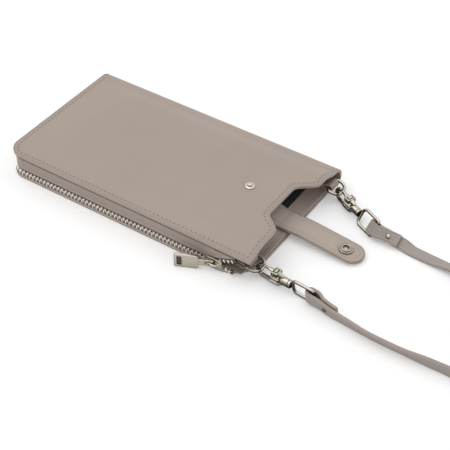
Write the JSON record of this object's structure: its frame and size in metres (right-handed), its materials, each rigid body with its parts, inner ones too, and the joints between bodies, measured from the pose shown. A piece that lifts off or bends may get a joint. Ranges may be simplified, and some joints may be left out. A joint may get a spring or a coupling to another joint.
{
  "type": "crossbody telephone wallet",
  "caption": "Flat leather crossbody wallet with an open telephone pocket, a zipped compartment behind it, a folding snap tab and a long narrow strap on swivel hooks.",
  "frame": {"origin": "centre of the back panel's outer face, which the wallet lies on", "axes": "+X along the wallet to its open mouth and the strap, +Y from the zip side to the folded side, +Z out of the front panel"},
  "size_m": [0.4016, 0.1174, 0.0226],
  "materials": {
    "taupe_leather": "pebbled, matt",
    "tab_leather": "pebbled, matt",
    "strap_leather": "fine grain, satin",
    "dark_lining": "matt",
    "zip_tape": "woven, matt",
    "nickel": "polished, warm"
  },
  "bodies": {
    "wallet": {"back_lining": "dark_lining", "card_pocket": "taupe_leather", "divider": "taupe_leather", "far_keeper": "taupe_leather", "far_rivet": "nickel", "far_strap": "strap_leather", "far_strap_end": "strap_leather", "far_swivel_eye": "nickel", "far_swivel_pin": "nickel", "front_lining": "dark_lining", "gusset": "taupe_leather", "near_keeper": "taupe_leather", "near_rivet": "nickel", "near_strap": "strap_leather", "near_strap_end": "strap_leather", "near_swivel_eye": "nickel", "near_swivel_pin": "nickel", "outer_wrap": "taupe_leather", "strap_coil": "strap_leather", "stud": "nickel", "stud_base": "nickel", "tab_root": "tab_leather", "zip_bottom_stop": "nickel", "zip_tape_lower": "zip_tape", "zip_tape_upper": "zip_tape", "zip_teeth_lower": "nickel", "zip_teeth_upper": "nickel", "zip_top_stop_lower": "nickel", "zip_top_stop_upper": "nickel"},
    "zip_slider": {"zip_slider": "nickel"},
    "zip_pull": {"zip_pull": "nickel"},
    "tab_riser": {"tab_riser": "tab_leather"},
    "tab_flap": {"tab_flap": "tab_leather", "snap_socket": "nickel", "snap_cap": "nickel"},
    "near_ring": {"near_ring": "nickel"},
    "far_ring": {"far_ring": "nickel"},
    "near_hook": {"near_hook_body": "nickel", "near_gate_pin": "nickel"},
    "far_hook": {"far_hook_body": "nickel", "far_gate_pin": "nickel"},
    "near_gate": {"near_hook_gate": "nickel"},
    "far_gate": {"far_hook_gate": "nickel"}
  },
  "joints": [
    {"name": "zip_slide", "type": "slide", "parent": "wallet", "child": "zip_slider", "axis": [1, 0, 0], "range_m": [-0.138, 0.005], "deforming": ["zip_teeth_upper", "zip_teeth_lower", "zip_tape_upper", "zip_tape_lower"]},
    {"name": "zip_pull_swing", "type": "hinge", "parent": "zip_slider", "child": "zip_pull", "pos_m": [0.066, -0.0542, 0.005], "axis": [0, 0, 1], "range_deg": [-14, 120]},
    {"name": "tab_root_fold", "type": "hinge", "parent": "wallet", "child": "tab_riser", "pos_m": [0.0813, 0, 0.00675], "axis": [0, -1, 0], "range_deg": [0, 85.83]},
    {"name": "tab_flap_fold", "type": "hinge", "parent": "tab_riser", "child": "tab_flap", "pos_m": [0.09781, 0, 0.00675], "axis": [0, -1, 0], "range_deg": [0, 100.17]},
    {"name": "near_ring_swing", "type": "hinge", "parent": "wallet", "child": "near_ring", "pos_m": [0.0845, -0.042, 0.0074], "axis": [0, 1, 0], "range_deg": [-3, 3]},
    {"name": "near_hook_swivel", "type": "hinge", "parent": "wallet", "child": "near_hook", "pos_m": [0.10736, -0.04393, 0.00574], "axis": [0.996, -0.0871, 0.0221], "range_deg": [-20, 20]},
    {"name": "near_gate_swing", "type": "hinge", "parent": "near_hook", "child": "near_gate", "pos_m": [0.10229, -0.04348, 0.00953], "axis": [-0.0872, -0.9962, 0], "range_deg": [0, 25], "stiffness_Nm_per_rad": 0.02, "springref_deg": -20.05},
    {"name": "far_ring_swing", "type": "hinge", "parent": "wallet", "child": "far_ring", "pos_m": [0.09, 0.042, 0.0074], "axis": [0, 1, 0], "range_deg": [-3, 3]},
    {"name": "far_hook_swivel", "type": "hinge", "parent": "wallet", "child": "far_hook", "pos_m": [0.11084, 0.03256, 0.00554], "axis": [0.9026, -0.4305, -0.0014], "range_deg": [-20, 20]},
    {"name": "far_gate_swing", "type": "hinge", "parent": "far_hook", "child": "far_gate", "pos_m": [0.10633, 0.03471, 0.00945], "axis": [-0.4305, -0.9026, 0], "range_deg": [0, 25], "stiffness_Nm_per_rad": 0.02, "springref_deg": -20.05}
  ]
}
